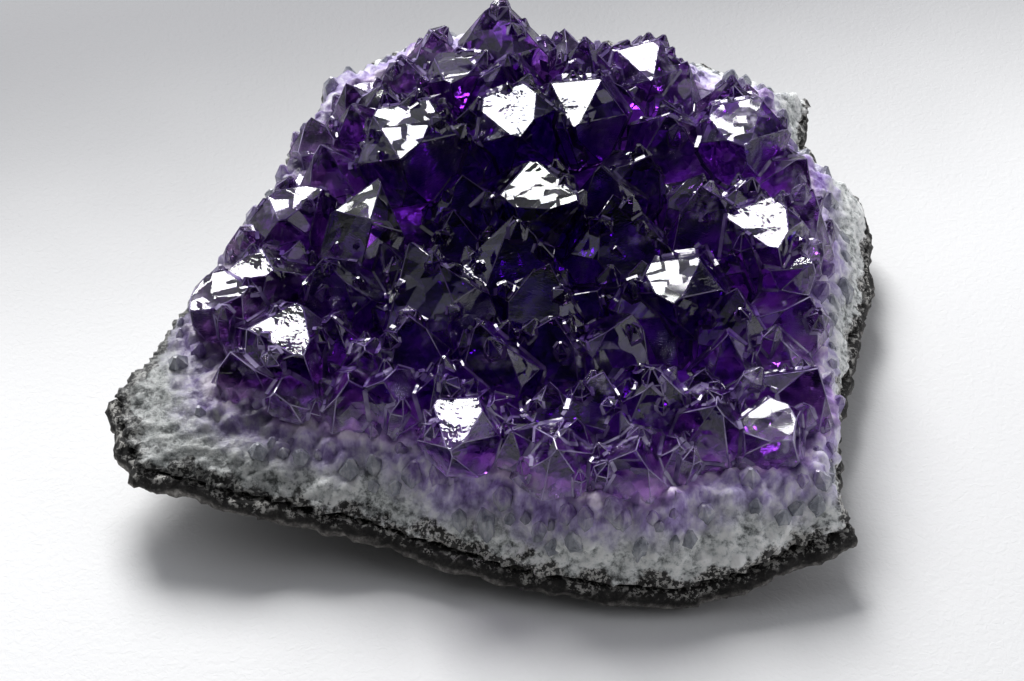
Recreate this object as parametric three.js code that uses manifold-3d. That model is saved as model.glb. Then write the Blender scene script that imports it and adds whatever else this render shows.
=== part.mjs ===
/*
 * Amethyst cluster: a hand-sized slab broken from the wall of a geode.
 *
 * Three layers lie on each other as they grew in the cavity:
 *   basalt_rind       the thin dark volcanic skin underneath, rounded like the outside of a bowl
 *   quartz_matrix     the pale band of agate and milky quartz, broken to a slope all round
 *   amethyst_crystals the crust of six-sided purple points, grown together at their roots
 *
 * Units are millimetres, +Z is up and the broken front edge faces -Y. The origin is the centre
 * of the bounding box on the surface that the slab rests on.
 */
import * as THREE from "three";
import { ConvexGeometry } from "three/addons/geometries/ConvexGeometry.js";
import { mergeVertices } from "three/addons/utils/BufferGeometryUtils.js";
import Module from "manifold-3d";

// Driving dimensions.
const RIND_THICKNESS = 2.6;
const RIND_EDGE_SLANT = 0.6; // the rind's broken edge leans in by this much at its top
const LAYER_GAP = 0.3; // clearance between one layer and the next
const MATRIX_SETBACK = 1.3; // the matrix stops this far inside the rind's edge
const BED_HEIGHT = 17.5; // where the crystals leave the matrix, above the table, at the middle
const BED_RISE_BACK = 0.045; // the bed climbs this much for each millimetre towards +Y
const BED_FALL_RIGHT = 0.015; // and falls this much for each millimetre towards +X
const ROOT_DEPTH = 4.5; // how far the crystals' roots sink below the bed at the middle
const ROOT_PLATE = 0.8; // the crystals are one solid up to this far above the bed
const PLATE_STEP = 4; // and that plate has a corner at every fourth point of the rim
const REST_SHARE = 0.42; // the underside is flat over this share of the way to the rim
const UNDERSIDE_CURVE = 1.6; // how late the underside lifts towards the rim
const FRACTURE_ROUGHNESS = 0.7; // how far a broken edge strays from its line
const SLOPE_CURVE = 0.8; // below 1 the broken slope bulges outwards
const BLOCK_SHARE = 1.5; // the block that trims the crystals is this share of the rim's size
const BLOCK_FALL = 3; // and its top falls this far from the bed on the way out
const RIND_LUMPS = 0.5; // how uneven the rind's outside is
const CONTACT_SHARE = 0.6; // the rind meets the matrix on a ring this share of the way to the rim
const POINTS_PER_SIDE = 2; // steps that each stretch of the rim is broken into

// The rind's edge, anticlockwise from the front left corner:
// [x, y, height of the rind's lower edge above the table, width of the broken slope inside it]
const RIM = [
  [-51, -43.5, 10, 15],
  [-41, -46, 9, 14],
  [-28, -47, 6, 10],
  [-15, -50, 4, 10],
  [-2, -54, 2.5, 9],
  [12, -57, 1.5, 7],
  [22, -58, 1, 7],
  [30, -56, 2, 8],
  [38, -53, 4, 7],
  [46, -50, 6, 7],
  [44, -43, 7, 4],
  [46, -35, 6, 3],
  [48, -20, 5, 5],
  [53, 0, 5, 8],
  [55, 20, 6, 9],
  [50, 27, 7, 9],
  [46, 36, 8, 9],
  [48, 46, 9, 12],
  [41, 47, 10, 10],
  [32, 53, 11, 12],
  [15, 58, 12, 11],
  [0, 60, 12, 9],
  [-13, 58, 12, 9],
  [-22, 52, 12, 8],
  [-30, 44, 12, 5],
  [-33, 29, 12, 3],
  [-39, 12, 12, 4],
  [-46, -8, 12, 5],
  [-51, -21, 12, 6],
  [-56, -30.5, 12, 13],
];

// The large crystals, each [x, y and height of its tip, width across the flats,
// lean from upright in degrees, the bearing it leans towards, turn about its own axis].
// Bearings run anticlockwise from +X.
const LARGE_CRYSTALS = [
  // front left
  [-44.5, -21, 23, 9.5, 62, 222, 45],
  [-40, -15, 24, 8, 62, 206, 22],
  [-27, 0, 28, 10.5, 38, 18, 80],
  [-28, -32.5, 24.5, 12, 55, 292, 6],
  [-26, -15, 27, 13, 16, 200, 10],
  [-32, -36, 21, 8.5, 38, 240, 15],
  [-22, -36, 23, 10.5, 20, 250, 40],
  // the largest crystal and its neighbours
  [-14, -15, 29.5, 15.5, 24, 140, 14],
  [0, -9, 29.5, 14.5, 15, 80, 32],
  [5, -17, 27.5, 10, 12, 60, 5],
  [9, -6, 30.5, 13, 48, 314, 30],
  [14, -3, 29, 15, 20, 100, 50],
  [-19, 1, 29, 10.5, 42, 68, 116],
  [-16, 4, 30.5, 14, 58, 265, 98],
  [-14, -27, 26.5, 10, 10, 90, 45],
  [-4, -29, 27, 13.5, 12, 190, 20],
  [6, -28, 27, 14.5, 8, 270, 12],
  [16, -26, 26, 12.5, 22, 20, 40],
  [18, -15, 27, 11, 26, 110, 25],
  // right
  [22, -25, 27.5, 10.5, 58, 258, 92],
  [31, -20, 26, 10.5, 14, 70, 8],
  [27, -1, 29, 15.5, 20, 150, 22],
  [34, 3, 28, 12.5, 22, 60, 46],
  [37, -13, 27.5, 11.5, 56, 281, 115],
  [42, -13, 24.5, 7.5, 47, 325, 41],
  [43, 2, 26.5, 11.5, 22, 20, 5],
  [44, -5, 22.5, 7.5, 45, 350, 40],
  [36, -2, 26, 8.5, 20, 280, 12],
  [41, -20, 24.5, 11, 24, 330, 30],
  [41, -33, 22.5, 12, 24, 350, 10],
  // back
  [-28, 13, 26.5, 11, 20, 170, 26],
  [-24, 22, 27, 10, 12, 200, 8],
  [-25, 31, 25, 10, 20, 160, 40],
  [-17, 37, 26, 11.5, 16, 120, 15],
  [-9, 29, 26.5, 10.5, 50, 258, 88],
  [-2, 43, 32, 13, 16, 100, 5],
  [0, 31, 29, 15, 14, 300, 25],
  [1, 11, 29.5, 12, 57, 275, 112],
  [-10, 15, 28, 12.5, 16, 200, 35],
  [11, 38, 28, 11, 12, 90, 18],
  [9, 14, 29, 12, 61, 262, 92],
  [21, 30, 26.5, 11, 56, 272, 106],
  [34, 31, 26, 12, 12, 60, 12],
  [34, 11, 27.5, 12.5, 58, 268, 100],
  [23, 18, 28, 14.5, 18, 250, 48],
  [20, 8, 28, 10.5, 26, 330, 30],
  [13, 6, 27.5, 10, 12, 180, 15],
  // front edge
  [-8, -48.5, 22, 11, 60, 257, 88],
  [0, -45, 22, 7.5, 30, 250, 10],
  [6, -49, 22.5, 12, 30, 265, 42],
  [16, -49, 22.5, 13, 26, 280, 14],
  [-10, -37, 25, 10, 22, 240, 30],
  [-17, -37, 24, 10, 24, 255, 0],
  [5, -37, 23.5, 7, 16, 90, 30],
  [12, -36, 24.5, 9.5, 20, 60, 12],
  [20, -38, 25.5, 12, 18, 300, 38],
  [27, -42, 24, 12, 24, 285, 20],
  [37, -45, 20.5, 10, 50, 296, 12],
];

// The small crystals that fill the gaps between them.
const SMALL_WIDTH = [13, 6.5]; // across the flats, from the first ones placed to the last
const SMALL_TIP_AT_RIM = 4.6; // height of a tip above the bed where the crystals begin
const SMALL_TIP_AT_MIDDLE = 8.4; // and at the middle
const SMALL_TRIES = 5000;
const FIELD_SHARE = 0.95; // the outermost tips stand this share of the way to the matrix's slope
const CLOSEST = 0.325; // least distance between two tips, as a share of their two widths
const RIM_BELT = 0.85; // past this share of the way out they lean outwards
const RIM_LEAN = 34; // by at most this angle, in degrees
const MIDDLE_LEAN = 26; // and elsewhere at random, by at most this angle
const FIELD_WIDTH = 110;
const FIELD_DEPTH = 120;

// Quartz: a pyramid face makes this angle with the crystal's base.
const PYRAMID_ANGLE = THREE.MathUtils.degToRad(51.8);
const CRYSTAL_LENGTH = 26;
const TOLERANCE = 1e-6;

/** A seeded random number from 0 to 1 (mulberry32). */
function randomSource(seed) {
  let state = seed;
  return () => {
    state = (state + 0x6d2b79f5) | 0;
    let t = Math.imul(state ^ (state >>> 15), 1 | state);
    t = (t + Math.imul(t ^ (t >>> 7), 61 | t)) ^ t;
    return ((t ^ (t >>> 14)) >>> 0) / 4294967296;
  };
}

const bedHeight = (x, y) => BED_HEIGHT + BED_RISE_BACK * y - BED_FALL_RIGHT * x;

/** The rim as a closed ring of small steps: each point, its height and its slope's width. */
function brokenRim() {
  const random = randomSource(11);
  const stray = (size) => size * (2 * random() - 1);
  return RIM.flatMap((from, i) => {
    const to = RIM[(i + 1) % RIM.length];
    return Array.from({ length: POINTS_PER_SIDE }, (_, step) => {
      const [x, y, lift, slope] = from.map((v, k) => THREE.MathUtils.lerp(v, to[k], step / POINTS_PER_SIDE));
      const size = step === 0 ? FRACTURE_ROUGHNESS / 2 : FRACTURE_ROUGHNESS;
      return { at: new THREE.Vector2(x + stray(size), y + stray(size)), lift, slope };
    });
  });
}

const rim = brokenRim();

/** The rim's ring pulled inwards by a distance, at a height given for each point. */
function ringInside(inset, heightOf) {
  return rim.map((point, i) => {
    const length = point.at.length();
    const at = point.at.clone().multiplyScalar((length - inset(point, i)) / length);
    return new THREE.Vector3(at.x, at.y, heightOf(point, at, i));
  });
}

/** The rim's ring shrunk to a share of its size about the middle. */
const ringScaled = (share, heightOf) => ringInside((point) => point.at.length() * (1 - share), heightOf);

/** The line where the crystals begin, shrunk to a share of its size about the middle. */
const crystalLine = (share, heightOf) =>
  ringInside(
    (point) => point.at.length() - share * (point.at.length() - point.slope),
    (point, at) => heightOf(at),
  );

/** A closed surface from a bottom centre, through rings of equal count, to a top centre. */
function ringSolid(bottom, rings, top) {
  const count = rings[0].length;
  const vertices = [bottom, ...rings.flat(), top];
  const indices = [];
  const at = (ring, i) => 1 + ring * count + (i % count);
  for (let i = 0; i < count; i++) {
    indices.push(0, at(0, i + 1), at(0, i));
    for (let ring = 0; ring < rings.length - 1; ring++) {
      const [a, b, c, d] = [at(ring, i), at(ring, i + 1), at(ring + 1, i + 1), at(ring + 1, i)];
      const splitAC = vertices[a].distanceTo(vertices[c]) < vertices[b].distanceTo(vertices[d]);
      indices.push(...(splitAC ? [a, b, c, a, c, d] : [a, b, d, b, c, d]));
    }
    indices.push(at(rings.length - 1, i), at(rings.length - 1, i + 1), vertices.length - 1);
  }
  return new THREE.BufferGeometry().setFromPoints(vertices).setIndex(indices);
}

/** Height of the underside at a share of the way to the rim: flat, then curving up to the lift. */
function undersideHeight(share, lift) {
  const climb = Math.max(share - REST_SHARE, 0) / (1 - REST_SHARE);
  return lift * climb ** UNDERSIDE_CURVE;
}

/** Height of the rind's top, a gap below the matrix. */
const rindTop = (share, lift) => undersideHeight(share, lift) + RIND_THICKNESS;

/** The dark volcanic skin: a shallow bowl with a flat foot. */
function basaltRind() {
  const random = randomSource(23);
  const foot = ringScaled(REST_SHARE, () => 0);
  const [lower, upper, edge] = [0.64, 0.84, 1].map((share) =>
    ringScaled(share, (point) => undersideHeight(share, point.lift) + RIND_LUMPS * random()),
  );
  const lip = ringInside(
    () => RIND_EDGE_SLANT,
    (point) => rindTop(1, point.lift),
  );
  const contact = ringScaled(CONTACT_SHARE, (point) => rindTop(CONTACT_SHARE, point.lift));
  const rings = [foot, lower, upper, edge, lip, contact];
  return ringSolid(new THREE.Vector3(0, 0, 0), rings, new THREE.Vector3(0, 0, RIND_THICKNESS));
}

/** The slope that is broken from the rim, 0, up to the crystals, 1. */
function brokenSlope(share, random) {
  const straight = (point) => THREE.MathUtils.lerp(MATRIX_SETBACK, point.slope, share);
  return ringInside(
    (point) => straight(point) + FRACTURE_ROUGHNESS * (random() - 0.5),
    (point, at) =>
      THREE.MathUtils.lerp(rindTop(1, point.lift) + LAYER_GAP, bedHeight(at.x, at.y), share ** SLOPE_CURVE),
  );
}

/** The bowl that the crystals' roots fill: its rings, from the crystals' line inwards. */
function rootsBowl(gap) {
  const height = (share, at) => bedHeight(at.x, at.y) - ROOT_DEPTH * (1 - share ** 3) + gap;
  return {
    rings: [1, 0.7, 0.35].map((share) => crystalLine(share, (at) => height(share, at))),
    middle: new THREE.Vector3(0, 0, height(0, new THREE.Vector2())),
  };
}

/** The pale band under the crystals. */
function quartzMatrix() {
  const random = randomSource(37);
  const contact = ringScaled(CONTACT_SHARE, (point) => rindTop(CONTACT_SHARE, point.lift) + LAYER_GAP);
  const slope = [0, 0.3, 0.65].map((share) => brokenSlope(share, random));
  const bowl = rootsBowl(0);
  const foot = new THREE.Vector3(0, 0, RIND_THICKNESS + LAYER_GAP);
  return ringSolid(foot, [contact, ...slope, ...bowl.rings], bowl.middle);
}

/** All that lies below the crystals: the matrix's top, a gap above it, on a wide deep block. */
function belowCrystals() {
  const bowl = rootsBowl(LAYER_GAP);
  const skirt = ringScaled(BLOCK_SHARE, (point, at) => bedHeight(at.x, at.y) - BLOCK_FALL);
  const base = ringScaled(BLOCK_SHARE, () => -CRYSTAL_LENGTH);
  return ringSolid(new THREE.Vector3(0, 0, -CRYSTAL_LENGTH), [base, skirt, ...bowl.rings], bowl.middle);
}

/** The point where three planes meet, or null where two of them are parallel. */
function meetingPoint(p, q, r) {
  const volume = p.normal.dot(q.normal.clone().cross(r.normal));
  if (Math.abs(volume) < TOLERANCE) return null;
  return new THREE.Vector3()
    .addScaledVector(q.normal.clone().cross(r.normal), p.distance)
    .addScaledVector(r.normal.clone().cross(p.normal), q.distance)
    .addScaledVector(p.normal.clone().cross(q.normal), r.distance)
    .divideScalar(volume);
}

/** The convex solid inside a set of planes, each { normal, distance }. */
function solidInside(planes) {
  const inside = (point) => planes.every((plane) => plane.normal.dot(point) < plane.distance + TOLERANCE);
  const meetings = planes.flatMap((p, i) =>
    planes.slice(i + 1).flatMap((q, j) => planes.slice(i + j + 2).map((r) => meetingPoint(p, q, r))),
  );
  return new ConvexGeometry(meetings.filter((point) => point && inside(point)));
}

/**
 * One quartz crystal with its tip at the origin, pointing up +Z: six prism faces, three large
 * pyramid faces that meet at the tip, and three smaller ones between them.
 */
function crystalGeometry(width, random) {
  const apothem = width / 2;
  const planes = [{ normal: new THREE.Vector3(0, 0, -1), distance: CRYSTAL_LENGTH }];
  for (let side = 0; side < 6; side++) {
    const bearing = (side * Math.PI) / 3;
    const outward = new THREE.Vector3(Math.cos(bearing), Math.sin(bearing), 0);
    planes.push({ normal: outward, distance: apothem * (0.92 + 0.2 * random()) });
    const setBack = side % 2 ? 0.04 + 0.26 * random() : 0.08 * random(); // small faces, large faces
    planes.push({
      normal: outward
        .clone()
        .multiplyScalar(Math.sin(PYRAMID_ANGLE))
        .setZ(Math.cos(PYRAMID_ANGLE)),
      distance: apothem * setBack,
    });
  }
  return solidInside(planes);
}

/** A crystal placed by its tip, its lean and its turn, with angles in degrees. */
function placedCrystal([x, y, z, width, lean, towards, turn], random) {
  const bearing = THREE.MathUtils.degToRad(towards);
  const sideways = new THREE.Vector3(-Math.sin(bearing), Math.cos(bearing), 0);
  const placed = new THREE.Matrix4()
    .makeTranslation(x, y, z)
    .multiply(new THREE.Matrix4().makeRotationAxis(sideways, THREE.MathUtils.degToRad(lean)))
    .multiply(new THREE.Matrix4().makeRotationZ(THREE.MathUtils.degToRad(turn)));
  return crystalGeometry(width, random).applyMatrix4(placed);
}

/** How far out a point lies: 0 at the middle and 1 where the crystals begin. */
function shareOfField(x, y) {
  const bearing = Math.atan2(y, x);
  const away = (point) => 1 - Math.cos(point.at.angle() - bearing);
  const nearest = rim.reduce((best, point) => (away(point) < away(best) ? point : best));
  return Math.hypot(x, y) / (nearest.at.length() - nearest.slope);
}

/** Small crystals thrown into the gaps that the large ones leave, the widest first. */
function smallCrystals() {
  const random = randomSource(5);
  const taken = LARGE_CRYSTALS.map(([x, y, , width]) => ({ x, y, width }));
  const placed = [];
  for (let i = 0; i < SMALL_TRIES; i++) {
    const x = FIELD_WIDTH * (random() - 0.5);
    const y = FIELD_DEPTH * (random() - 0.5);
    const width = THREE.MathUtils.lerp(...SMALL_WIDTH, i / SMALL_TRIES);
    const share = shareOfField(x, y);
    const clear = taken.every((c) => Math.hypot(c.x - x, c.y - y) > CLOSEST * (c.width + width));
    if (share > FIELD_SHARE || !clear) continue;
    taken.push({ x, y, width });
    const reach = THREE.MathUtils.lerp(SMALL_TIP_AT_MIDDLE, SMALL_TIP_AT_RIM, share ** 4) + random() - 0.5;
    const outward = THREE.MathUtils.radToDeg(Math.atan2(y, x));
    const atRim = share > RIM_BELT;
    const lean = atRim ? RIM_LEAN * (0.5 + 0.5 * random()) : MIDDLE_LEAN * random();
    const towards = atRim ? outward + RIM_LEAN * 2 * (random() - 0.5) : 360 * random();
    placed.push([x, y, bedHeight(x, y) + reach, width, lean, towards, 60 * random()]);
  }
  return placed;
}

const wasm = await Module();
wasm.setup();

/** A closed geometry as a solid that can be joined and cut. */
function toSolid(geometry) {
  const bare = new THREE.BufferGeometry().setAttribute("position", geometry.getAttribute("position"));
  bare.setIndex(geometry.index);
  const merged = mergeVertices(bare, 1e-4);
  return new wasm.Manifold(
    new wasm.Mesh({
      numProp: 3,
      vertProperties: merged.getAttribute("position").array,
      triVerts: new Uint32Array(merged.index.array),
    }),
  );
}

/** A solid's surface as a geometry. */
function toGeometry(solid) {
  const { vertProperties, triVerts } = solid.getMesh();
  return new THREE.BufferGeometry()
    .setAttribute("position", new THREE.BufferAttribute(vertProperties, 3))
    .setIndex(new THREE.BufferAttribute(triVerts, 1));
}

/** The crust of crystals, joined at their roots and cut to sit on the matrix. */
function amethystCrystals() {
  const random = randomSource(71);
  const edge = (heightOf) => crystalLine(0.93, heightOf).filter((_, i) => i % PLATE_STEP === 0);
  const plate = [...edge(() => 0), ...edge((at) => bedHeight(at.x, at.y) + ROOT_PLATE)];
  const crust = [...LARGE_CRYSTALS, ...smallCrystals()]
    .map((crystal) => toSolid(placedCrystal(crystal, random)))
    .reduce((joined, crystal) => joined.add(crystal), toSolid(new ConvexGeometry(plate)));
  const cut = crust.subtract(toSolid(belowCrystals()));
  const [largest] = cut.decompose().sort((a, b) => b.volume() - a.volume());
  return toGeometry(largest);
}

/** One named layer of the cluster. */
function layer(name, geometry, color, roughness) {
  const material = new THREE.MeshStandardMaterial({ color, roughness, metalness: 0 });
  const mesh = new THREE.Mesh(geometry, material);
  mesh.name = name;
  return mesh;
}

const cluster = new THREE.Group();
cluster.add(
  layer("basalt_rind", basaltRind(), 0x2b2724, 0.9),
  layer("quartz_matrix", quartzMatrix(), 0xa9adab, 0.6),
  layer("amethyst_crystals", amethystCrystals(), 0x4b2a86, 0.08),
);

// The origin goes to the middle of the bounding box, on the table.
const box = new THREE.Box3().setFromObject(cluster);
const middle = box.getCenter(new THREE.Vector3());
cluster.position.set(-middle.x, -middle.y, -box.min.z);

export default cluster;
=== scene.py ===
"""The looks of an amethyst cluster: purple points on milky quartz with a volcanic rind below.

Lengths are in millimetres up to the moment when a mesh is made, and metres in the scene.
"""

import math
import random

import bmesh
import bpy
import numpy as np
from mathutils import Matrix, Vector, noise
from mathutils.bvhtree import BVHTree


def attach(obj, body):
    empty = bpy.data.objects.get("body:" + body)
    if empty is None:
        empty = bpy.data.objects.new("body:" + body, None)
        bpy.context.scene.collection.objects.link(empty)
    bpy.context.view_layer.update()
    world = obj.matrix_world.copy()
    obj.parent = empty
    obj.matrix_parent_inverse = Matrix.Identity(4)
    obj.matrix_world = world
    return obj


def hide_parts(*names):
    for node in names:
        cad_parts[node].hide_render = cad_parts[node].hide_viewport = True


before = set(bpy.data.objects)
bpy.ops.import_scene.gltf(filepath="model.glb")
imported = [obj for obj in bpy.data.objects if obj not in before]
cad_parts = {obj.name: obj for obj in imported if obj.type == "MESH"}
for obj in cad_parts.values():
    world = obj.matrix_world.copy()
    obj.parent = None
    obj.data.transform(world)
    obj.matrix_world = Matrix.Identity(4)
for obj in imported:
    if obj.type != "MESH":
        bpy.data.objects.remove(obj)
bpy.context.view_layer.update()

MM = 0.001
MERGED = 0.002  # CAD points closer than this are one point

# Crystals.
PYRAMID_SLOPE = math.tan(math.radians(51.8))  # of a pyramid face against the crystal's base
FOOT_TAPER = 0.9  # radius of a crystal's foot against its shoulder
PYRAMID_INSET = 0.8  # of the radius; the six sides would meet at 0.87, so a small blunt tip is left
TIP_DRIFT = 0.12  # of the width, how far a tip may lie off its crystal's middle
WEAR_EDGE = (0.04, 0.09)  # half the width of the worn strip along a crystal's edge
LEDGE = (0.1, 0.32)  # half the width of the healed seam where two crystals meet
SHORTEST_EDGE = 0.8  # shorter edges stay sharp
BURIED = 0.12  # how far a bar reaches into the crystals
STEEPEST_SEAM = 1.2  # radians; steeper seams are filled no higher than this one
WORN_PROUD = 0.012  # a worn strip stands this far proud of the edge it covers
BATCH = 150  # cubes made in one bmesh, because the next cube takes longer in a fuller one
FACET_ANGLE = math.radians(1.5)  # faces closer than this to one plane are one facet
EDGE_ANGLE = math.radians(14)  # edges blunter than this stay as they are
SCRAMBLE = (311.7, 127.1, 74.7)  # turns the way a facet faces into a number of its own
SCRAMBLE_SIZE = 43758.5
COLUMN_TRIES = 260
COLUMN_WIDTH = (1.6, 3.4)
COLUMN_RISE = (0.2, 0.7)  # of a tip above its ground, in widths
COLUMN_LEAN = 0.16
COLUMN_BAND = (0.8, 6.5)  # how far from the amethyst the milky columns stand
COLUMN_GROUND = (0.25, 0.1)  # how far their ground faces outwards and upwards, at least
OUTLINE_PARTS = 40  # of the crust, to tell how far out a point is
SIDE_TRIES = 900
SIDE_WIDTH = (1.8, 4.2)  # of the small crystals on the flanks of the large ones
SIDE_RISE = (0.25, 0.6)  # of a tip above its ground, in widths
SIDE_LEAN = 0.22
SIDE_REACH = (50, 58)  # half the width and depth of the ground where they are tried
LIT_ENOUGH = 0.955  # facets turned closer than this to the lit way stay bare
STEEPEST_GROUND = 0.15  # how far the ground below a small crystal faces upwards, at least
ABOVE = 60  # higher than the whole slab
LIT_FACET = Vector((-0.199, -0.132, 0.971))  # facets turned this way mirror the window
QUARTZ_IOR = 1.544
AMETHYST_ABSORPTION = (95.0, 185.0, 55.0)  # of red, green and blue in a metre of crystal
ABSORPTION_DENSITY = 260.0  # more than any of those, so that each colour stays above 0
BED_HEIGHT = 17.5  # of the crystals' roots, at the middle
BED_RISE_BACK = 0.045
BED_RISE_RIGHT = -0.015

# Rock.
MATRIX_VOXEL = 0.62
RIND_VOXEL = 0.7
MATRIX_SWELL = 0.75  # the matrix is raised by this much, so it closes on the crystals' roots
CONTACT_SWELL = 0.6  # and by this much where it meets the rind

# Camera and lights.
CAMERA_ELEVATION = math.radians(40)
CAMERA_DISTANCE = 380
CAMERA_FIELD = math.radians(21.5)
CAMERA_TARGET = (0.4, -19, 15)
LAMP_TARGET = (0, 0, 0.015)
FLOOR_REACH = 1.5
BACK_WALL = (-0.45, 0.8, 0.4)  # the way to the lit side of the room
BACK_WALL_EDGE = 0.05
ROOM_DARK = 0.02
ROOM_LIGHT = 0.9


# ---------------------------------------------------------------- shader nodes


class Value:
    """A number in a shader. Arithmetic on it adds the Math nodes that work it out."""

    def __init__(self, finish, socket):
        self.finish = finish
        self.socket = socket

    def math(self, operation, *others):
        return self.finish.add("Math", dict(enumerate((self, *others))), operation=operation)

    def __add__(self, other):
        return self.math("ADD", other)

    __radd__ = __add__

    def __mul__(self, other):
        return self.math("MULTIPLY", other)

    __rmul__ = __mul__

    def __sub__(self, other):
        return self.math("SUBTRACT", other)

    def __rsub__(self, other):
        return (self * -1.0) + other

    def __truediv__(self, other):
        return self.math("DIVIDE", other)

    def between(self, low, high):
        """0 below low, 1 above high and smooth between; high may be the lower of the two."""
        ends = {"Value": self, "From Min": low, "From Max": high}
        return self.finish.add("MapRange", ends, interpolation_type="SMOOTHSTEP")


class Finish:
    """One material, built node by node."""

    def __init__(self, name):
        self.material = bpy.data.materials.new(name)
        self.material.use_nodes = True
        self.tree = self.material.node_tree
        self.tree.nodes.clear()
        self.place = self.add("TexCoord", output="Object")

    def add(self, kind, values=None, output=0, stops=None, **settings):
        """A node of that kind with its settings, then its values or links; returns one output."""
        node = self.tree.nodes.new("ShaderNode" + kind)
        for name, setting in settings.items():
            setattr(node, name, setting)
        if stops:
            self.set_stops(node.color_ramp, stops)
        for name, value in (values or {}).items():
            if isinstance(value, Value):
                self.tree.links.new(value.socket, node.inputs[name])
            else:
                node.inputs[name].default_value = value
        return Value(self, node.outputs[output])

    def set_stops(self, ramp, stops):
        while len(ramp.elements) < len(stops):
            ramp.elements.new(0.5)
        for element, (position, colour) in zip(ramp.elements, stops):
            element.position = position
            element.color = (*colour, 1.0)

    def axis(self, letter):
        """The place along one axis, in millimetres."""
        return self.add("SeparateXYZ", {"Vector": self.place}, output=letter) / MM

    def attribute(self, name):
        return self.add("Attribute", output="Fac", attribute_name=name)

    def noise(self, size, detail=3.0, roughness=0.55, stretch=(1, 1, 1), distortion=0.0):
        """Cloudy noise from 0 to 1, whose lumps are about size millimetres across."""
        place = self.add("Mapping", {"Vector": self.place, "Scale": [s / (size * MM) for s in stretch]})
        values = {"Vector": place, "Scale": 1.0, "Detail": detail, "Roughness": roughness}
        return self.add("TexNoise", {**values, "Distortion": distortion}, output="Fac")

    def cells(self, size, distance="EUCLIDEAN"):
        """How far each place is from the middle of its cell, for cells size millimetres across."""
        place = self.add("Mapping", {"Vector": self.place, "Scale": [1 / (size * MM)] * 3})
        values = {"Vector": place, "Scale": 1.0}
        return self.add("TexVoronoi", values, output="Distance", distance=distance)

    def ramp(self, value, stops):
        return self.add("ValToRGB", {"Fac": value}, stops=stops, output="Color")

    def mix(self, share, first, second, blend="MIX"):
        """The first colour where share is 0 and the second where it is 1."""
        node = self.tree.nodes.new("ShaderNodeMix")
        node.data_type = "RGBA"
        node.blend_type = blend
        for name, value in (("Factor_Float", share), ("A_Color", first), ("B_Color", second)):
            socket = next(s for s in node.inputs if s.identifier == name)
            if isinstance(value, Value):
                self.tree.links.new(value.socket, socket)
            else:
                socket.default_value = value if isinstance(value, float) else (*value, 1.0)
        return Value(self, next(s for s in node.outputs if s.identifier == "Result_Color"))

    def bump(self, height, depth, under=None):
        """Relief of that height map, depth millimetres from its lowest to its highest."""
        values = {"Height": height, "Distance": depth * MM, "Strength": 1.0}
        if under is not None:
            values["Normal"] = under
        return self.add("Bump", values, output="Normal")

    def shader(self, **values):
        """The Principled shader with its sockets by name, underscores for spaces."""
        return self.add("BsdfPrincipled", {k.replace("_", " "): v for k, v in values.items()})

    def finish(self, surface, volume=None):
        out = self.tree.nodes.new("ShaderNodeOutputMaterial")
        self.tree.links.new(surface.socket, out.inputs["Surface"])
        if volume is not None:
            self.tree.links.new(volume.socket, out.inputs["Volume"])
        return self.material


# ------------------------------------------------------------------- finishes


def amethyst_finish():
    """Clear purple quartz: growth marks on its faces, milky patches at the rim and dust."""
    f = Finish("amethyst")
    facet = f.attribute("facet")
    rim = f.attribute("rim")
    bed = f.axis("Y") * BED_RISE_BACK + f.axis("X") * BED_RISE_RIGHT + BED_HEIGHT
    height = f.axis("Z") - bed
    clouds = f.noise(5.0, detail=2.0)
    streaks = f.noise(1.3, detail=2.0, roughness=0.6, stretch=(1, 1, 0.3))
    tint = f.ramp(
        rim + (clouds - 0.5) * 1.1,
        [(0.3, (0.24, 0.1, 0.5)), (0.6, (0.62, 0.38, 0.9)), (0.92, (0.95, 0.86, 1.0))],
    )
    pitted = facet.between(0.84, 0.87)
    lined = facet.between(0.35, 0.3)
    waves = f.noise(7.0, detail=0.0)
    hillocks = f.cells(4.0, distance="CHEBYCHEV") * (facet * 0.8 + 0.2)
    lines = f.noise(0.6, detail=0.0, stretch=(1, 1, 5))
    relief = waves * 0.8 + hillocks * 0.9 + lines * lined * 0.035
    normal = f.bump(relief, 1.0)
    glass = f.shader(
        Base_Color=tint,
        Roughness=pitted * 0.1 + 0.02,
        IOR=QUARTZ_IOR,
        Transmission_Weight=1.0,
        Normal=normal,
    )
    low = (height + (clouds - 0.5) * 8.0).between(3.5, -2.0)
    milky = rim.between(0.72, 1.0) * low * (streaks.between(0.3, 0.6) * 0.6 + 0.4)
    outer = rim.between(0.3, 0.9) * 0.45 + 0.1
    wisps = clouds.between(0.55, 0.72) * streaks.between(0.35, 0.6) * outer
    dust = f.cells(1.1).between(0.085, 0.05) * clouds.between(0.45, 0.4) * 0.5
    haze = f.ramp(
        streaks,
        [(0.3, (0.16, 0.09, 0.3)), (0.5, (0.33, 0.25, 0.5)), (0.72, (0.62, 0.6, 0.74))],
    )
    cloud = f.shader(Base_Color=haze, Roughness=0.3, IOR=QUARTZ_IOR, Normal=normal)
    share = (milky + wisps + dust).math("MINIMUM", 0.9)
    surface = f.add("MixShader", {0: share, 1: glass, 2: cloud})
    passed = [1 - a / ABSORPTION_DENSITY for a in AMETHYST_ABSORPTION]
    absorption = {"Color": (*passed, 1.0), "Density": ABSORPTION_DENSITY}
    volume = f.add("VolumeAbsorption", absorption)
    return f.finish(surface, volume)


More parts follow.
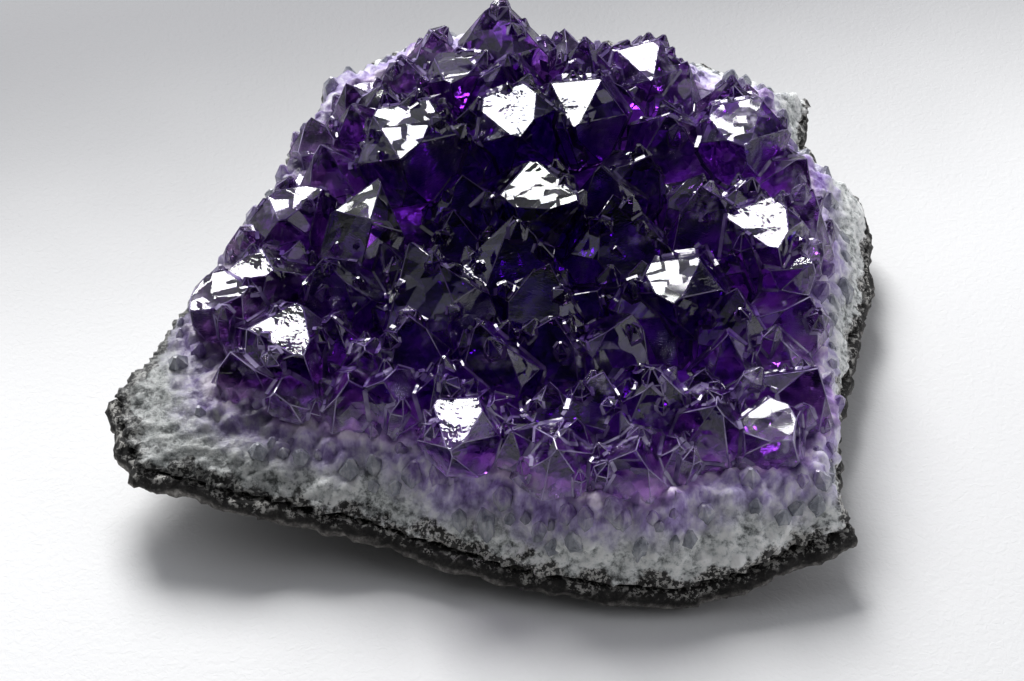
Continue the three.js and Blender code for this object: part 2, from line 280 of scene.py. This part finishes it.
def edge_finish():
    """The worn edges and healed seams of the amethyst, polished and wavy."""
    f = Finish("amethyst_edges")
    rim = f.attribute("rim")
    clouds = f.noise(3.0, detail=2.0)
    colour = f.ramp(
        rim + (clouds - 0.5) * 0.9,
        [(0.4, (0.02, 0.008, 0.06)), (0.75, (0.09, 0.045, 0.2)), (1.0, (0.4, 0.34, 0.55))],
    )
    normal = f.bump(f.noise(1.6, detail=1.0), 0.15)
    surface = f.shader(Base_Color=colour, Roughness=clouds * 0.1, IOR=QUARTZ_IOR, Normal=normal)
    return f.finish(surface)


def matrix_finish():
    """Broken agate and milky quartz: lavender at the crystals, then grey, then speckled; with a painted
    glow on the crystals' roots and painted shade on its left side.
    """
    f = Finish("milky_quartz")
    to_crystals = f.attribute("to_crystals")
    to_rind = f.attribute("to_rind")
    crest = f.attribute("crest")
    clouds = f.noise(5.0, detail=4.0)
    streaks = f.noise(1.7, detail=4.0, roughness=0.6, stretch=(1, 1, 0.3))
    grain = f.noise(1.1, detail=5.0, roughness=0.68)
    fine = f.noise(0.5, detail=3.0, roughness=0.6)
    milky = f.ramp(
        streaks + (fine - 0.5) * 0.25,
        [
            (0.3, (0.28, 0.28, 0.37)),
            (0.42, (0.58, 0.6, 0.68)),
            (0.52, (0.85, 0.86, 0.9)),
            (0.66, (0.97, 0.97, 0.98)),
        ],
    )
    agate = f.ramp(
        grain + (crest - 0.5) * 0.12,
        [
            (0.34, (0.09, 0.096, 0.094)),
            (0.43, (0.4, 0.42, 0.415)),
            (0.53, (0.8, 0.82, 0.81)),
            (0.64, (0.97, 0.97, 0.95)),
        ],
    )
    low = (to_crystals + (clouds - 0.5) * 9.0).between(3.0, 8.0)
    stone = f.mix(low, milky, agate)
    lavender = f.ramp(
        streaks,
        [
            (0.3, (0.16, 0.08, 0.34)),
            (0.46, (0.42, 0.31, 0.68)),
            (0.58, (0.68, 0.6, 0.84)),
            (0.72, (0.9, 0.88, 0.94)),
        ],
    )
    near = (to_crystals + (clouds - 0.5) * 8.0).between(7.5, 1.5)
    stone = f.mix(near, stone, lavender)
    roots = f.attribute("roots")
    # Painted glow: the roots seen through the crystals get patches from near black to near white, standing
    # in for light shining through the amethyst.
    painted_glow = f.ramp(
        clouds,
        [(0.36, (0.05, 0.02, 0.14)), (0.48, (0.4, 0.25, 0.6)), (0.58, (0.92, 0.8, 0.98))],
    )
    stone = f.mix(roots, stone, painted_glow)
    salt = (fine + (grain - 0.5) * 0.8).between(0.5, 0.56)
    pepper = f.mix(salt, (0.012, 0.010, 0.009), (0.52, 0.51, 0.48))
    dirt = (to_rind + (clouds - 0.5) * 9.0 + (grain - 0.5) * 3.0).between(2.4, 1.4)
    stone = f.mix(dirt, stone, pepper)
    contact = (to_rind + (grain - 0.5) * 3.0).between(0.9, 0.3)
    stone = f.mix(contact, stone, (0.015, 0.012, 0.010))
    # Painted shade: the stone's left side is darkened in its colour, as if less light fell there.
    painted_shade_left = (f.axis("X") + (clouds - 0.5) * 30.0).between(-12.0, -42.0)
    stone = f.mix(painted_shade_left * 0.75, stone, (0.16, 0.17, 0.165), blend="MULTIPLY")
    normal = f.bump(grain, 0.25)
    surface = f.shader(
        Base_Color=stone,
        Roughness=clouds * 0.3 + 0.2,
        IOR=QUARTZ_IOR,
        Normal=normal,
    )
    return f.finish(surface)


def column_finish():
    """Half-clear milky quartz, lavender where it meets the amethyst."""
    f = Finish("milky_columns")
    away = f.attribute("to_crystals")
    clouds = f.noise(5.0, detail=4.0)
    streaks = f.noise(1.1, detail=4.0, roughness=0.6, stretch=(1, 1, 0.3))
    lavender = f.ramp(
        streaks,
        [(0.3, (0.2, 0.1, 0.4)), (0.5, (0.45, 0.33, 0.68)), (0.7, (0.82, 0.78, 0.9))],
    )
    grey = f.ramp(
        streaks,
        [(0.3, (0.2, 0.21, 0.27)), (0.5, (0.5, 0.52, 0.58)), (0.7, (0.85, 0.85, 0.88))],
    )
    near = (away + (clouds - 0.5) * 6.0).between(5.0, 1.0)
    normal = f.bump(f.noise(0.8, detail=3.0), 0.2)
    surface = f.shader(
        Base_Color=f.mix(near, grey, lavender),
        Roughness=clouds * 0.3 + 0.1,
        IOR=QUARTZ_IOR,
        Transmission_Weight=0.45,
        Normal=normal,
    )
    return f.finish(surface)


def rind_finish():
    """Brown-black volcanic rock with a paler crust on its outside."""
    f = Finish("basalt")
    depth = f.attribute("to_matrix")
    grain = f.noise(0.9, detail=5.0, roughness=0.7)
    patches = f.noise(4.0, detail=4.0)
    dark = f.ramp(
        grain,
        [(0.4, (0.006, 0.0055, 0.005)), (0.6, (0.03, 0.027, 0.025)), (0.75, (0.2, 0.19, 0.18))],
    )
    crust = f.ramp(
        grain,
        [(0.3, (0.03, 0.027, 0.025)), (0.5, (0.16, 0.15, 0.14)), (0.7, (0.45, 0.43, 0.4))],
    )
    outside = (depth + (patches - 0.5) * 2.4).between(1.9, 2.7)
    salt = grain.between(0.5, 0.58) * (depth + (patches - 0.5) * 5.0).between(1.6, 0.6)
    rock = f.mix(salt, f.mix(outside, dark, crust), (0.5, 0.49, 0.46))
    normal = f.bump(grain, 0.4)
    surface = f.shader(Base_Color=rock, Roughness=0.8, Normal=normal)
    return f.finish(surface)


def floor_finish():
    """A pale grained table top, with painted shade that darkens it towards its far side."""
    f = Finish("pale_table")
    grain = f.noise(0.9, detail=2.0, distortion=0.8)
    normal = f.bump(grain, 0.07)
    # Painted shade: the table's colour darkens towards the far left, standing in for the lamps' light
    # falling off.
    painted_falloff = (f.axis("Y") - f.axis("X") * 0.35 + f.noise(60.0) * 20.0).between(0.0, 120.0)
    colour = f.mix(painted_falloff, (0.77, 0.77, 0.77), (0.24, 0.24, 0.25))
    return f.finish(f.shader(Base_Color=colour, Roughness=0.6, Normal=normal))


# --------------------------------------------------------------------- meshes


def cad_copy(node):
    """A copy of a CAD node with its loose triangles joined."""
    shape = bmesh.new()
    shape.from_mesh(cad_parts[node].data)
    bmesh.ops.remove_doubles(shape, verts=shape.verts, dist=MERGED * MM)
    return shape


def surface(node):
    """A CAD node's surface, to find how far from it a point is."""
    shape = cad_copy(node)
    tree = BVHTree.FromBMesh(shape)
    shape.free()
    return tree


def make_piece(name, shape, finish, node):
    """An object made of a bmesh, riding on the one body; it stands for a CAD node, if one is given."""
    mesh = bpy.data.meshes.new(name)
    shape.to_mesh(mesh)
    shape.free()
    piece = bpy.data.objects.new(name, mesh)
    bpy.context.scene.collection.objects.link(piece)
    mesh.materials.append(finish)
    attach(piece, "root")
    if node:
        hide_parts(node)
    return piece


def remesh(piece, voxel):
    """Turns the piece's skin into small even faces."""
    skin = piece.modifiers.new("skin", "REMESH")
    skin.mode = "VOXEL"
    skin.voxel_size = voxel * MM
    skin.use_smooth_shade = True
    finished = piece.evaluated_get(bpy.context.evaluated_depsgraph_get())
    mesh = bpy.data.meshes.new_from_object(finished)
    piece.modifiers.clear()
    old = piece.data
    piece.data = mesh
    mesh.name = piece.name
    bpy.data.meshes.remove(old)


def read_points(mesh):
    """The points and normals of a mesh, in millimetres."""
    points = np.empty(len(mesh.vertices) * 3)
    normals = np.empty(len(mesh.vertices) * 3)
    mesh.vertices.foreach_get("co", points)
    mesh.vertices.foreach_get("normal", normals)
    return points.reshape(-1, 3) / MM, normals.reshape(-1, 3)


def move_points(mesh, moved):
    mesh.vertices.foreach_set("co", (moved * MM).ravel())
    mesh.update()


def store(mesh, name, values):
    """Keeps one number for each point of a mesh, for its material."""
    layer = mesh.attributes.new(name, "FLOAT", "POINT")
    layer.data.foreach_set("value", np.asarray(values, dtype=np.float32))


def distances(tree, points):
    """How far each point lies from a surface, in millimetres."""
    return np.array([tree.find_nearest(Vector(p) * MM)[3] for p in points]) / MM


def lumps(points, size, octaves=4, seed=0.0):
    """Cloudy noise, about -1 to 1, whose lumps are size millimetres across."""
    shift = Vector((seed, seed * 0.7, -seed))
    return np.array([noise.fractal(Vector(p) / size + shift, 1.0, 2.0, octaves) for p in points])


def ridges(points, size, octaves=3, seed=0.0):
    """Sharp crests, about 0 to 1, for broken stone."""
    shift = Vector((seed, -seed, seed * 0.4))
    places = [Vector(p) / size + shift for p in points]
    values = [noise.ridged_multi_fractal(p, 1.0, 2.0, octaves, 1.0, 2.0) for p in places]
    return np.clip(np.array(values) / 2.0, 0, 1.5)


def grains(points, size, stretch=(1, 1, 1)):
    """Rounded grains packed together: 1 at the middle of a grain and 0 at its border."""
    scale = Vector(stretch) / size
    edges = []
    for p in points:
        near = noise.voronoi(Vector(p) * scale)[0]
        edges.append(near[1] - near[0])
    return np.clip(np.array(edges) * 1.6, 0, 1)


def smooth(values, low, high):
    """0 below low, 1 above high and smooth between; high may be the lower of the two."""
    t = np.clip((values - low) / (high - low), 0, 1)
    return t * t * (3 - 2 * t)


# --------------------------------------------------------------------- pieces


def make_rind(matrix_tree):
    """The volcanic skin: lumpy, pitted, and jagged where it broke."""
    shape = cad_copy("basalt_rind")
    piece = make_piece("basalt_rind_broken", shape, rind_finish(), "basalt_rind")
    remesh(piece, RIND_VOXEL)
    points, normals = read_points(piece.data)
    reach = np.linalg.norm(points[:, :2], axis=1)
    away = distances(matrix_tree, points)
    edge = smooth(points[:, 2], 0.2, 3.0)
    outward = np.c_[points[:, :2] / np.maximum(reach, 1)[:, None], np.zeros(len(points))]
    jag = lumps(points * (1, 1, 0.4), 6.0, seed=3) * 0.9 + ridges(points, 4.0, seed=5) * 0.8 - 0.5
    rough = lumps(points, 2.2, seed=9) * 0.35 + grains(points, 1.3) * 0.3
    moved = points + normals * (rough * edge)[:, None] + outward * (jag * edge)[:, None]
    moved[:, 2] = np.maximum(moved[:, 2], 0)
    moved = np.where((away < 0.35)[:, None], points + outward * (jag * 0.5)[:, None], moved)
    move_points(piece.data, moved)
    store(piece.data, "to_matrix", away)


def make_matrix(crystal_tree, rind_tree):
    """The pale band: granular agate below, and columns of milky quartz below the crystals."""
    shape = cad_copy("quartz_matrix")
    piece = make_piece("quartz_matrix_broken", shape, matrix_finish(), "quartz_matrix")
    remesh(piece, MATRIX_VOXEL)
    points, normals = read_points(piece.data)
    to_crystals = distances(crystal_tree, points)
    to_rind = distances(rind_tree, points)
    up = smooth(normals[:, 2], -0.3, 0.1)
    columns = grains(points, 2.6, stretch=(1, 1, 0.25))
    near = smooth(to_crystals, 9.0, 2.0)
    crest = (
        lumps(points, 8.0, seed=2) * 0.9
        + ridges(points, 5.0, seed=4) * 0.7 * (1 - near * 0.5)
        + grains(points, 2.0) * 0.6 * (1 - near)
        + lumps(points, 1.4, octaves=2, seed=7) * 0.25
        + columns * 1.3 * near
    )
    height = (crest - 0.45) * up + MATRIX_SWELL * smooth(to_crystals, 2.5, 0.6)
    height = height + CONTACT_SWELL * smooth(to_rind, 1.2, 0.4) * up
    moved = points + normals * height[:, None]
    move_points(piece.data, moved)
    store(piece.data, "to_crystals", to_crystals)
    store(piece.data, "to_rind", to_rind)
    store(piece.data, "crest", np.clip(crest, 0, 1.2))
    store(piece.data, "roots", smooth(to_crystals, 1.6, 0.6))
    return piece


def add_point(shape, place, axis, width, length, draw):
    """Adds one six-sided crystal whose point lies at a place, with uneven pyramid faces."""
    spin = Matrix.Rotation(draw.uniform(0, math.tau), 4, "Z")
    turn = axis.to_track_quat("Z", "Y").to_matrix().to_4x4() @ spin
    radius = width / 2
    made = bmesh.ops.create_cone(
        shape, cap_ends=True, segments=6, radius1=radius * FOOT_TAPER, radius2=radius, depth=length
    )
    top = max({f for v in made["verts"] for f in v.link_faces}, key=lambda f: f.calc_center_median().z)
    inwards = radius * PYRAMID_INSET
    inset = bmesh.ops.inset_individual(
        shape, faces=[top], thickness=inwards, depth=inwards * PYRAMID_SLOPE
    )
    aside = draw.uniform(-TIP_DRIFT, TIP_DRIFT) * width
    ahead = draw.uniform(-TIP_DRIFT, TIP_DRIFT) * width
    tip = Vector((aside, ahead, 0))
    apex = sum((v.co for v in top.verts), Vector()) / len(top.verts)
    bmesh.ops.translate(shape, vec=tip, verts=top.verts)
    grown = {v for f in inset["faces"] for v in f.verts}
    everything = list(grown | set(made["verts"]) | set(top.verts))
    bmesh.ops.translate(shape, vec=-apex - tip, verts=everything)
    bmesh.ops.transform(shape, matrix=Matrix.Translation(place) @ turn, verts=everything)


def clearance(rind_tree, tip):
    """How long the prism of a crystal with that tip may be without reaching the rind."""
    away = rind_tree.find_nearest(tip * MM)[3] / MM
    return max(0.6, away * 0.6 - 0.8)


def side_points(tree, rind_tree, draw):
    """Small crystals grown on the flanks of the large ones and in the valleys between them."""
    shape = bmesh.new()
    placed = []
    for _ in range(SIDE_TRIES):
        x = draw.uniform(-SIDE_REACH[0], SIDE_REACH[0])
        y = draw.uniform(-SIDE_REACH[1], SIDE_REACH[1])
        width = draw.uniform(*SIDE_WIDTH)
        rise = draw.uniform(*SIDE_RISE)
        lean = Vector((draw.gauss(0, 1), draw.gauss(0, 1), draw.gauss(0, 1))) * SIDE_LEAN
        place, normal, _, _ = tree.ray_cast(Vector((x, y, ABOVE)) * MM, Vector((0, 0, -1)))
        if place is None or normal.dot(LIT_FACET) > LIT_ENOUGH or normal.z < STEEPEST_GROUND:
            continue
        place /= MM
        if any((place - other).length < (width + size) * 0.5 for other, size in placed):
            continue
        placed.append((place, width))
        axis = (normal * 0.45 + Vector((0, 0, 0.75)) + lean).normalized()
        tip = place + axis * width * rise
        depth = min(width * 2.2, clearance(rind_tree, tip))
        add_point(shape, tip * MM, axis, width * MM, depth * MM, draw)
    return shape


def rim_share(points):
    """How far out each point of the crust is: 0 in its middle and 1 at its outline."""
    angles = np.arctan2(points[:, 1], points[:, 0])
    reach = np.hypot(points[:, 0], points[:, 1])
    middle = np.linspace(-math.pi, math.pi, OUTLINE_PARTS + 1)
    width = math.tau / OUTLINE_PARTS
    apart = [np.abs(np.angle(np.exp(1j * (angles - m)))) for m in middle]
    outline = [reach[a < width].max() for a in apart]
    return reach / np.interp(angles, middle, outline)


def united(shape, other):
    """The union of two solids, as a bmesh."""
    objects = []
    for part in (shape, other):
        mesh = bpy.data.meshes.new("part")
        part.to_mesh(mesh)
        part.free()
        objects.append(bpy.data.objects.new("part", mesh))
        bpy.context.scene.collection.objects.link(objects[-1])
    join = objects[0].modifiers.new("join", "BOOLEAN")
    join.operation = "UNION"
    join.solver = "MANIFOLD"
    join.object = objects[1]
    finished = objects[0].evaluated_get(bpy.context.evaluated_depsgraph_get())
    mesh = bpy.data.meshes.new_from_object(finished)
    result = bmesh.new()
    result.from_mesh(mesh)
    bpy.data.meshes.remove(mesh)
    for part in objects:
        bpy.data.meshes.remove(part.data)
    return result


def cubes(places):
    """A bmesh of unit cubes placed by each of some matrices, in metres."""
    everything = bmesh.new()
    mesh = bpy.data.meshes.new("cubes")
    for start in range(0, len(places), BATCH):
        part = bmesh.new()
        for place in places[start : start + BATCH]:
            bmesh.ops.create_cube(part, size=1, matrix=place)
        part.to_mesh(mesh)
        part.free()
        everything.from_mesh(mesh)
    bpy.data.meshes.remove(mesh)
    return everything


def bars_along(shape, draw):
    """Flat narrow bars along the edges between facets: healed seams inward, worn strips outward.

    A bar's flat side faces midway between its two facets. Where a seam could mirror the window,
    its flat side is turned part of the way there.
    """
    places = []
    for edge in shape.edges:
        angle = edge.calc_face_angle_signed(0) if edge.is_manifold else 0
        length = edge.calc_length() / MM
        turned = draw.random()
        inward = angle < 0
        half = min(draw.uniform(*(LEDGE if inward else WEAR_EDGE)), length * 0.3)
        if abs(angle) < EDGE_ANGLE or length < SHORTEST_EDGE:
            continue
        first, last = (v.co / MM for v in edge.verts)
        along = (last - first).normalized()
        up = sum((f.normal for f in edge.link_faces), Vector()).normalized()
        lit = (LIT_FACET - along * LIT_FACET.dot(along)).normalized()
        if inward and lit.angle(up) < abs(angle) / 2:
            up = up.lerp(lit, turned).normalized()
        top = half * math.tan(min(abs(angle) / 2, STEEPEST_SEAM)) if inward else WORN_PROUD
        side = up.cross(along)
        size = Matrix.Diagonal((length, half * 2 + (BURIED if inward else 0), top + BURIED, 1))
        turn = Matrix((along, side, up)).transposed().to_4x4()
        place = Matrix.Translation((first + last) / 2 + up * (top - BURIED) / 2)
        places.append(Matrix.Scale(MM, 4) @ place @ turn @ size)
    return cubes(places)


def mark_facets(shape):
    """Gives each facet a number of its own from 0 to 1, scrambled from the way it faces."""
    facet = shape.faces.layers.float.new("facet")
    for face in shape.faces:
        x, y, z = face.normal
        turn = x * SCRAMBLE[0] + y * SCRAMBLE[1] + z * SCRAMBLE[2]
        face[facet] = math.sin(turn) * SCRAMBLE_SIZE % 1


def make_crystals(crystal_tree, rind_tree):
    """The crust of large points with small ones on their flanks, and bars along their edges."""
    draw = random.Random(4)
    shape = united(cad_copy("amethyst_crystals"), side_points(crystal_tree, rind_tree, draw))
    bmesh.ops.dissolve_limit(
        shape, angle_limit=FACET_ANGLE, use_dissolve_boundaries=False, verts=shape.verts, edges=shape.edges
    )
    bars = bars_along(shape, draw)
    edges = make_piece("amethyst_edges", bars, edge_finish(), None)
    mark_facets(shape)
    piece = make_piece("amethyst_points", shape, amethyst_finish(), "amethyst_crystals")
    for part in (piece, edges):
        points, _ = read_points(part.data)
        store(part.data, "rim", rim_share(points))


def make_columns(matrix, crystal_tree, rind_tree):
    """Milky points that stand out of the broken side just below the amethyst."""
    draw = random.Random(8)
    points, normals = read_points(matrix.data)
    away = distances(crystal_tree, points)
    outward = points[:, :2] / np.linalg.norm(points[:, :2], axis=1)[:, None]
    steep = (normals[:, :2] * outward).sum(axis=1)
    near = (away > COLUMN_BAND[0]) & (away < COLUMN_BAND[1])
    fit = np.nonzero(near & (steep > COLUMN_GROUND[0]) & (normals[:, 2] > COLUMN_GROUND[1]))[0]
    shape = bmesh.new()
    placed = []
    for _ in range(COLUMN_TRIES):
        i = fit[draw.randrange(len(fit))]
        width = draw.uniform(*COLUMN_WIDTH)
        place = Vector(points[i])
        lean = Vector((draw.gauss(0, 1), draw.gauss(0, 1), 0)) * COLUMN_LEAN
        if any((place - other).length < (width + size) * 0.45 for other, size in placed):
            continue
        placed.append((place, width))
        axis = (Vector((*outward[i], 0)) * 0.15 + Vector((0, 0, 1)) + lean).normalized()
        tip = place + axis * width * draw.uniform(*COLUMN_RISE)
        depth = min(width * 2.6, clearance(rind_tree, tip))
        add_point(shape, tip * MM, axis, width * MM, depth * MM, draw)
    piece = make_piece("milky_columns", shape, column_finish(), None)
    points, _ = read_points(piece.data)
    store(piece.data, "to_crystals", distances(crystal_tree, points))


# ------------------------------------------------------------ camera and light


def aim(placed, target):
    """Turns a camera or a lamp to look at a point."""
    way = Vector(target) - placed.location
    placed.rotation_euler = way.to_track_quat("-Z", "Y").to_euler()


def make_camera():
    """A long lens in front of the slab, looking down on it."""
    lens = bpy.data.cameras.new("camera")
    lens.sensor_width = 36
    lens.lens = lens.sensor_width / 2 / math.tan(CAMERA_FIELD / 2)
    lens.clip_start = 0.01
    camera = bpy.data.objects.new("camera", lens)
    bpy.context.scene.collection.objects.link(camera)
    back = Vector((0, -math.cos(CAMERA_ELEVATION), math.sin(CAMERA_ELEVATION)))
    target = Vector(CAMERA_TARGET) * MM
    camera.location = target + back * CAMERA_DISTANCE * MM
    aim(camera, target)
    bpy.context.scene.camera = camera


def make_softbox(name, bearing, elevation, distance, size, power, colour=(1, 1, 1)):
    """A square soft lamp, in metres, watts and degrees; its bearing is anticlockwise from +X."""
    lamp = bpy.data.lights.new(name, "AREA")
    lamp.size = size
    lamp.energy = power
    lamp.color = colour
    placed = bpy.data.objects.new(name, lamp)
    bpy.context.scene.collection.objects.link(placed)
    b = math.radians(bearing)
    e = math.radians(elevation)
    way = Vector((math.cos(b) * math.cos(e), math.sin(b) * math.cos(e), math.sin(e)))
    placed.location = way * distance
    aim(placed, LAMP_TARGET)


def make_world():
    """A dim room, lit from its back wall and its ceiling."""
    world = bpy.data.worlds.new("studio")
    world.use_nodes = True
    tree = world.node_tree
    sky = tree.nodes["Background"]
    way = tree.nodes.new("ShaderNodeTexCoord")
    side = tree.nodes.new("ShaderNodeVectorMath")
    side.operation = "DOT_PRODUCT"
    side.inputs[1].default_value = BACK_WALL
    tree.links.new(way.outputs["Generated"], side.inputs[0])
    shade = tree.nodes.new("ShaderNodeMapRange")
    shade.interpolation_type = "SMOOTHSTEP"
    shade.inputs["From Min"].default_value = BACK_WALL_EDGE
    shade.inputs["To Min"].default_value = ROOM_DARK
    shade.inputs["To Max"].default_value = ROOM_LIGHT
    tree.links.new(side.outputs["Value"], shade.inputs["Value"])
    tree.links.new(shade.outputs["Result"], sky.inputs["Strength"])
    sky.inputs["Color"].default_value = (0.93, 0.95, 1.0, 1)
    bpy.context.scene.world = world


def make_floor():
    """The table top, which is part of the stage."""
    shape = bmesh.new()
    bmesh.ops.create_grid(shape, x_segments=1, y_segments=1, size=FLOOR_REACH)
    mesh = bpy.data.meshes.new("table")
    shape.to_mesh(mesh)
    shape.free()
    mesh.materials.append(floor_finish())
    floor = bpy.data.objects.new("table", mesh)
    bpy.context.scene.collection.objects.link(floor)


make_camera()
make_world()
make_floor()
make_softbox("window", bearing=108, elevation=47, distance=0.9, size=0.4, power=9.8)
make_softbox(
    "wall", bearing=-10, elevation=20, distance=1.0, size=0.9, power=3.4, colour=(0.95, 0.95, 1.0)
)

# Light paths long enough for the crystals.
cycles = bpy.context.scene.cycles
cycles.max_bounces = 6
cycles.transmission_bounces = 6
cycles.diffuse_bounces = 2
cycles.glossy_bounces = 3

crystal_tree = surface("amethyst_crystals")
rind_tree = surface("basalt_rind")

make_rind(surface("quartz_matrix"))
matrix = make_matrix(crystal_tree, rind_tree)
make_columns(matrix, crystal_tree, rind_tree)
make_crystals(crystal_tree, rind_tree)

bpy.context.scene.view_settings.view_transform = "Standard"
